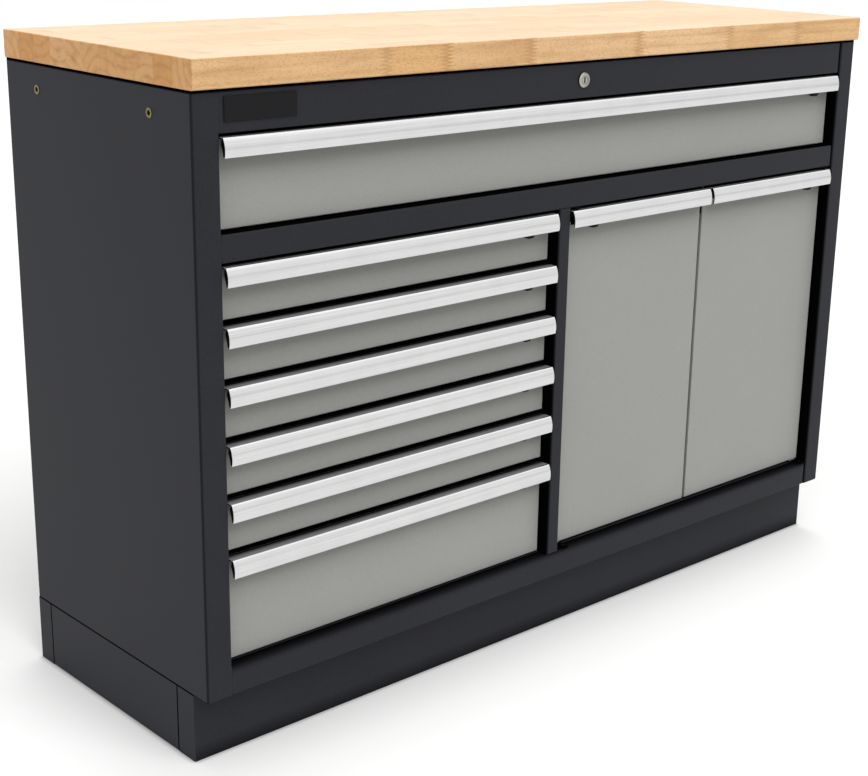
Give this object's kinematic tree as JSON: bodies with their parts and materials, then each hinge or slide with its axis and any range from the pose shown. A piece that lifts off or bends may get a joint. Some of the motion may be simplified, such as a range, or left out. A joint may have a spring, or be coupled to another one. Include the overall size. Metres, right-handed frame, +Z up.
{
  "type": "workbench tool cabinet",
  "caption": "Low steel workbench cabinet with a wooden worktop, drawers of three sizes and a pair of doors, full-width grip handles, sliding catches and central locking.",
  "frame": {"origin": "on the floor, in the middle of the cabinet's footprint", "axes": "+X to the right across the front, +Y from the front to the rear, +Z up"},
  "size_m": [1.363, 0.462, 0.951],
  "materials": {
    "worktop_wood": "oiled finger-jointed hardwood",
    "carcass_paint": "fine-textured powder coat",
    "front_paint": "satin powder coat",
    "handle_aluminium": "satin anodised",
    "catch_plastic": "moulded black",
    "zinc": "zinc plated",
    "lock_nickel": "nickel plated",
    "insert_brass": "yellow passivated"
  },
  "bodies": {
    "carcass": {"worktop": "worktop_wood", "left_side_panel": "carcass_paint", "right_side_panel": "carcass_paint", "back_panel": "carcass_paint", "top_rail": "carcass_paint", "mid_panel": "carcass_paint", "bottom_panel": "carcass_paint", "centre_partition": "carcass_paint", "plinth_boards": "carcass_paint", "slide_posts": "zinc", "outer_slides": "zinc", "threaded_inserts": "insert_brass", "hinge_pivots": "carcass_paint", "shelf": "zinc", "shelf_clips": "zinc", "lock_fittings": "lock_nickel"},
    "lock_plug": {"lock_plug": "lock_nickel", "lock_rod": "zinc"},
    "lock_bar": {"lock_bar": "zinc"},
    "wide_drawer": {"wide_drawer": "front_paint", "wide_drawer_handle": "handle_aluminium", "wide_drawer_inner_slides": "zinc"},
    "wide_drawer_middle_slides": {"wide_drawer_middle_slides": "zinc"},
    "wide_drawer_catch": {"wide_drawer_catch": "catch_plastic"},
    "drawer_1": {"drawer_1": "front_paint", "drawer_1_handle": "handle_aluminium", "drawer_1_inner_slides": "zinc"},
    "drawer_1_middle_slides": {"drawer_1_middle_slides": "zinc"},
    "drawer_1_catch": {"drawer_1_catch": "catch_plastic"},
    "drawer_2": {"drawer_2": "front_paint", "drawer_2_handle": "handle_aluminium", "drawer_2_inner_slides": "zinc"},
    "drawer_2_middle_slides": {"drawer_2_middle_slides": "zinc"},
    "drawer_2_catch": {"drawer_2_catch": "catch_plastic"},
    "drawer_3": {"drawer_3": "front_paint", "drawer_3_handle": "handle_aluminium", "drawer_3_inner_slides": "zinc"},
    "drawer_3_middle_slides": {"drawer_3_middle_slides": "zinc"},
    "drawer_3_catch": {"drawer_3_catch": "catch_plastic"},
    "drawer_4": {"drawer_4": "front_paint", "drawer_4_handle": "handle_aluminium", "drawer_4_inner_slides": "zinc"},
    "drawer_4_middle_slides": {"drawer_4_middle_slides": "zinc"},
    "drawer_4_catch": {"drawer_4_catch": "catch_plastic"},
    "drawer_5": {"drawer_5": "front_paint", "drawer_5_handle": "handle_aluminium", "drawer_5_inner_slides": "zinc"},
    "drawer_5_middle_slides": {"drawer_5_middle_slides": "zinc"},
    "drawer_5_catch": {"drawer_5_catch": "catch_plastic"},
    "deep_drawer": {"deep_drawer": "front_paint", "deep_drawer_handle": "handle_aluminium", "deep_drawer_inner_slides": "zinc"},
    "deep_drawer_middle_slides": {"deep_drawer_middle_slides": "zinc"},
    "deep_drawer_catch": {"deep_drawer_catch": "catch_plastic"},
    "left_door": {"left_door": "front_paint", "left_door_handle": "handle_aluminium"},
    "left_door_catch": {"left_door_catch": "catch_plastic"},
    "right_door": {"right_door": "front_paint", "right_door_handle": "handle_aluminium"},
    "right_door_catch": {"right_door_catch": "catch_plastic"}
  },
  "joints": [
    {"name": "wide_drawer_slide", "type": "slide", "parent": "carcass", "child": "wide_drawer", "axis": [0, -1, 0], "range_m": [0, 0.38]},
    {"name": "wide_drawer_middle_slide", "type": "slide", "parent": "carcass", "child": "wide_drawer_middle_slides", "axis": [0, -1, 0], "range_m": [0, 0.19]},
    {"name": "wide_drawer_catch_slide", "type": "slide", "parent": "wide_drawer", "child": "wide_drawer_catch", "axis": [1, 0, 0], "range_m": [0, 0.006]},
    {"name": "drawer_1_slide", "type": "slide", "parent": "carcass", "child": "drawer_1", "axis": [0, -1, 0], "range_m": [0, 0.38]},
    {"name": "drawer_1_middle_slide", "type": "slide", "parent": "carcass", "child": "drawer_1_middle_slides", "axis": [0, -1, 0], "range_m": [0, 0.19]},
    {"name": "drawer_1_catch_slide", "type": "slide", "parent": "drawer_1", "child": "drawer_1_catch", "axis": [1, 0, 0], "range_m": [0, 0.006]},
    {"name": "drawer_2_slide", "type": "slide", "parent": "carcass", "child": "drawer_2", "axis": [0, -1, 0], "range_m": [0, 0.38]},
    {"name": "drawer_2_middle_slide", "type": "slide", "parent": "carcass", "child": "drawer_2_middle_slides", "axis": [0, -1, 0], "range_m": [0, 0.19]},
    {"name": "drawer_2_catch_slide", "type": "slide", "parent": "drawer_2", "child": "drawer_2_catch", "axis": [1, 0, 0], "range_m": [0, 0.006]},
    {"name": "drawer_3_slide", "type": "slide", "parent": "carcass", "child": "drawer_3", "axis": [0, -1, 0], "range_m": [0, 0.38]},
    {"name": "drawer_3_middle_slide", "type": "slide", "parent": "carcass", "child": "drawer_3_middle_slides", "axis": [0, -1, 0], "range_m": [0, 0.19]},
    {"name": "drawer_3_catch_slide", "type": "slide", "parent": "drawer_3", "child": "drawer_3_catch", "axis": [1, 0, 0], "range_m": [0, 0.006]},
    {"name": "drawer_4_slide", "type": "slide", "parent": "carcass", "child": "drawer_4", "axis": [0, -1, 0], "range_m": [0, 0.38]},
    {"name": "drawer_4_middle_slide", "type": "slide", "parent": "carcass", "child": "drawer_4_middle_slides", "axis": [0, -1, 0], "range_m": [0, 0.19]},
    {"name": "drawer_4_catch_slide", "type": "slide", "parent": "drawer_4", "child": "drawer_4_catch", "axis": [1, 0, 0], "range_m": [0, 0.006]},
    {"name": "drawer_5_slide", "type": "slide", "parent": "carcass", "child": "drawer_5", "axis": [0, -1, 0], "range_m": [0, 0.38]},
    {"name": "drawer_5_middle_slide", "type": "slide", "parent": "carcass", "child": "drawer_5_middle_slides", "axis": [0, -1, 0], "range_m": [0, 0.19]},
    {"name": "drawer_5_catch_slide", "type": "slide", "parent": "drawer_5", "child": "drawer_5_catch", "axis": [1, 0, 0], "range_m": [0, 0.006]},
    {"name": "deep_drawer_slide", "type": "slide", "parent": "carcass", "child": "deep_drawer", "axis": [0, -1, 0], "range_m": [0, 0.38]},
    {"name": "deep_drawer_middle_slide", "type": "slide", "parent": "carcass", "child": "deep_drawer_middle_slides", "axis": [0, -1, 0], "range_m": [0, 0.19]},
    {"name": "deep_drawer_catch_slide", "type": "slide", "parent": "deep_drawer", "child": "deep_drawer_catch", "axis": [1, 0, 0], "range_m": [0, 0.006]},
    {"name": "left_door_hinge", "type": "hinge", "parent": "carcass", "child": "left_door", "pos_m": [-0.001, -0.222, 0.4195], "axis": [0, 0, -1], "range_deg": [0, 90]},
    {"name": "left_door_catch_slide", "type": "slide", "parent": "left_door", "child": "left_door_catch", "axis": [-1, 0, 0], "range_m": [0, 0.006]},
    {"name": "right_door_hinge", "type": "hinge", "parent": "carcass", "child": "right_door", "pos_m": [0.625, -0.222, 0.4195], "axis": [0, 0, 1], "range_deg": [0, 90]},
    {"name": "right_door_catch_slide", "type": "slide", "parent": "right_door", "child": "right_door_catch", "axis": [1, 0, 0], "range_m": [0, 0.006]},
    {"name": "lock_turn", "type": "hinge", "parent": "carcass", "child": "lock_plug", "pos_m": [0, -0.2, 0.8845], "axis": [0, 1, 0], "range_deg": [0, 90]},
    {"name": "lock_bar_slide", "type": "slide", "parent": "carcass", "child": "lock_bar", "axis": [0, 0, 1], "range_m": [0, 0.02546]}
  ],
  "couplings": [
    {"joint": "wide_drawer_middle_slide", "follows": "wide_drawer_slide", "ratio": 0.5},
    {"joint": "drawer_1_middle_slide", "follows": "drawer_1_slide", "ratio": 0.5},
    {"joint": "drawer_2_middle_slide", "follows": "drawer_2_slide", "ratio": 0.5},
    {"joint": "drawer_3_middle_slide", "follows": "drawer_3_slide", "ratio": 0.5},
    {"joint": "drawer_4_middle_slide", "follows": "drawer_4_slide", "ratio": 0.5},
    {"joint": "drawer_5_middle_slide", "follows": "drawer_5_slide", "ratio": 0.5},
    {"joint": "deep_drawer_middle_slide", "follows": "deep_drawer_slide", "ratio": 0.5},
    {"joint": "lock_turn", "follows": "lock_bar_slide", "rad_per_m": 61.69}
  ]
}
